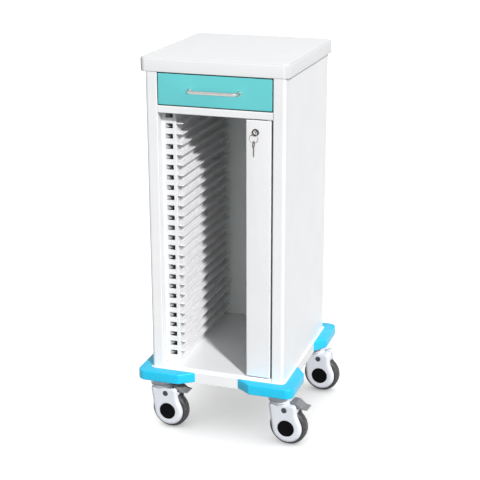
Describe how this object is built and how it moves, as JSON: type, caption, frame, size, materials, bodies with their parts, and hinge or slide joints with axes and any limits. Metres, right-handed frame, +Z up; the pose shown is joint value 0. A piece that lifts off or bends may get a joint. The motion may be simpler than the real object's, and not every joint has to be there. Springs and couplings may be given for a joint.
{
  "type": "medical chart rack",
  "caption": "Tall narrow rolling rack for patient charts with side ledges, a drawer, a lockable flap, corner bumpers and swivel casters.",
  "frame": {"origin": "on the floor, under the middle of the overall plan, casters and bumpers included", "axes": "+Z up, -Y the front with the drawer and the open bay, +X the right side seen from the front"},
  "size_m": [0.4586, 0.472, 1.0025],
  "materials": {
    "white_steel": "white powder coat, satin",
    "teal_steel": "teal powder coat, satin",
    "white_worktop": "moulded, satin",
    "blue_bumper": "moulded, satin sky blue",
    "chrome": "polished",
    "zinc_steel": "zinc plated",
    "white_nylon": "moulded, satin",
    "grey_plastic": "moulded, satin",
    "black_plastic": "moulded, satin",
    "tyre_rubber": "polyurethane, satin",
    "white_bush": "moulded acetal"
  },
  "bodies": {
    "cabinet": {"worktop": "white_worktop", "cabinet_top": "white_steel", "side_panel_left": "white_steel", "side_panel_right": "white_steel", "back_panel": "white_steel", "front_rail": "white_steel", "drawer_bay": "white_steel", "compartment_floor": "white_steel", "base_pan": "white_steel", "bumper_front_left": "blue_bumper", "bumper_front_right": "blue_bumper", "bumper_rear_left": "blue_bumper", "bumper_rear_right": "blue_bumper", "rack_panel_left": "white_steel", "rack_panel_right": "white_steel", "chart_ledges_left": "white_steel", "chart_ledges_right": "white_steel", "slide_outer_left": "zinc_steel", "slide_outer_right": "zinc_steel", "flap_hinge_bushes": "white_bush", "caster_stems": "zinc_steel"},
    "drawer": {"drawer_front": "teal_steel", "drawer_tray": "white_steel", "drawer_handle": "chrome", "handle_screws": "zinc_steel", "slide_inner_left": "zinc_steel", "slide_inner_right": "zinc_steel"},
    "slide_middles": {"slide_middle_left": "zinc_steel", "slide_middle_right": "zinc_steel"},
    "flap": {"flap_panel": "white_steel", "flap_hinge_pins": "zinc_steel", "lock_housing": "chrome", "lock_nut": "zinc_steel"},
    "lock_rotor": {"lock_plug": "chrome", "lock_cam": "zinc_steel", "key": "zinc_steel"},
    "key_ring": {"key_ring": "zinc_steel"},
    "spare_key": {"spare_key": "zinc_steel"},
    "caster_front_left": {"caster_fork_front_left": "white_nylon", "caster_trim_front_left": "black_plastic", "caster_axle_front_left": "zinc_steel"},
    "wheel_front_left": {"wheel_core_front_left": "grey_plastic", "tyre_front_left": "tyre_rubber"},
    "caster_front_right": {"caster_fork_front_right": "white_nylon", "caster_trim_front_right": "black_plastic", "caster_axle_front_right": "zinc_steel"},
    "wheel_front_right": {"wheel_core_front_right": "grey_plastic", "tyre_front_right": "tyre_rubber"},
    "caster_rear_left": {"caster_fork_rear_left": "white_nylon", "caster_trim_rear_left": "black_plastic", "caster_axle_rear_left": "zinc_steel"},
    "wheel_rear_left": {"wheel_core_rear_left": "grey_plastic", "tyre_rear_left": "tyre_rubber"},
    "caster_rear_right": {"caster_fork_rear_right": "white_nylon", "caster_trim_rear_right": "black_plastic", "caster_axle_rear_right": "zinc_steel"},
    "wheel_rear_right": {"wheel_core_rear_right": "grey_plastic", "tyre_rear_right": "tyre_rubber"},
    "pedal_front_left": {"brake_pedal_front_left": "grey_plastic"},
    "pedal_front_right": {"brake_pedal_front_right": "grey_plastic"}
  },
  "joints": [
    {"name": "drawer_slide", "type": "slide", "parent": "cabinet", "child": "drawer", "axis": [0, -1, 0], "range_m": [0, 0.3]},
    {"name": "slide_middles_run", "type": "slide", "parent": "cabinet", "child": "slide_middles", "axis": [0, -1, 0], "range_m": [0, 0.15]},
    {"name": "flap_hinge", "type": "hinge", "parent": "cabinet", "child": "flap", "pos_m": [0.12368, -0.1977, 0.1889], "axis": [0, 0, 1], "range_deg": [0, 105]},
    {"name": "lock_turn", "type": "hinge", "parent": "flap", "child": "lock_rotor", "pos_m": [0.08868, -0.203, 0.8333], "axis": [0, -1, 0], "range_deg": [0, 90]},
    {"name": "key_ring_hang", "type": "hinge", "parent": "lock_rotor", "child": "key_ring", "pos_m": [0.08868, -0.2181, 0.8333], "axis": [0, -1, 0], "range_deg": [-90, 0]},
    {"name": "spare_key_swing", "type": "hinge", "parent": "key_ring", "child": "spare_key", "pos_m": [0.08868, -0.2181, 0.8103], "axis": [-1, 0, 0], "range_deg": [-10, 60]},
    {"name": "swivel_front_left", "type": "hinge", "parent": "cabinet", "child": "caster_front_left", "pos_m": [-0.18132, -0.1715, 0.1255], "axis": [0, 0, 1], "continuous": true},
    {"name": "roll_front_left", "type": "hinge", "parent": "caster_front_left", "child": "wheel_front_left", "pos_m": [-0.15741, -0.17359, 0.0508], "axis": [0.0872, 0.9962, 0], "continuous": true},
    {"name": "swivel_front_right", "type": "hinge", "parent": "cabinet", "child": "caster_front_right", "pos_m": [0.14868, -0.1715, 0.1255], "axis": [0, 0, 1], "continuous": true},
    {"name": "roll_front_right", "type": "hinge", "parent": "caster_front_right", "child": "wheel_front_right", "pos_m": [0.17259, -0.17359, 0.0508], "axis": [0.0872, 0.9962, 0], "continuous": true},
    {"name": "swivel_rear_left", "type": "hinge", "parent": "cabinet", "child": "caster_rear_left", "pos_m": [-0.18132, 0.1715, 0.1255], "axis": [0, 0, 1], "continuous": true},
    {"name": "roll_rear_left", "type": "hinge", "parent": "caster_rear_left", "child": "wheel_rear_left", "pos_m": [-0.15741, 0.16941, 0.0508], "axis": [0.0872, 0.9962, 0], "continuous": true},
    {"name": "swivel_rear_right", "type": "hinge", "parent": "cabinet", "child": "caster_rear_right", "pos_m": [0.14868, 0.1715, 0.1255], "axis": [0, 0, 1], "continuous": true},
    {"name": "roll_rear_right", "type": "hinge", "parent": "caster_rear_right", "child": "wheel_rear_right", "pos_m": [0.17259, 0.16941, 0.0508], "axis": [0.0872, 0.9962, 0], "continuous": true},
    {"name": "brake_front_left", "type": "hinge", "parent": "caster_front_left", "child": "pedal_front_left", "pos_m": [-0.14047, -0.17507, 0.1138], "axis": [0.0872, 0.9962, 0], "range_deg": [0, 12]},
    {"name": "brake_front_right", "type": "hinge", "parent": "caster_front_right", "child": "pedal_front_right", "pos_m": [0.18953, -0.17507, 0.1138], "axis": [0.0872, 0.9962, 0], "range_deg": [0, 12]}
  ],
  "couplings": [
    {"joint": "slide_middles_run", "follows": "drawer_slide", "ratio": 0.5},
    {"joint": "key_ring_hang", "follows": "lock_turn", "ratio": -1}
  ]
}
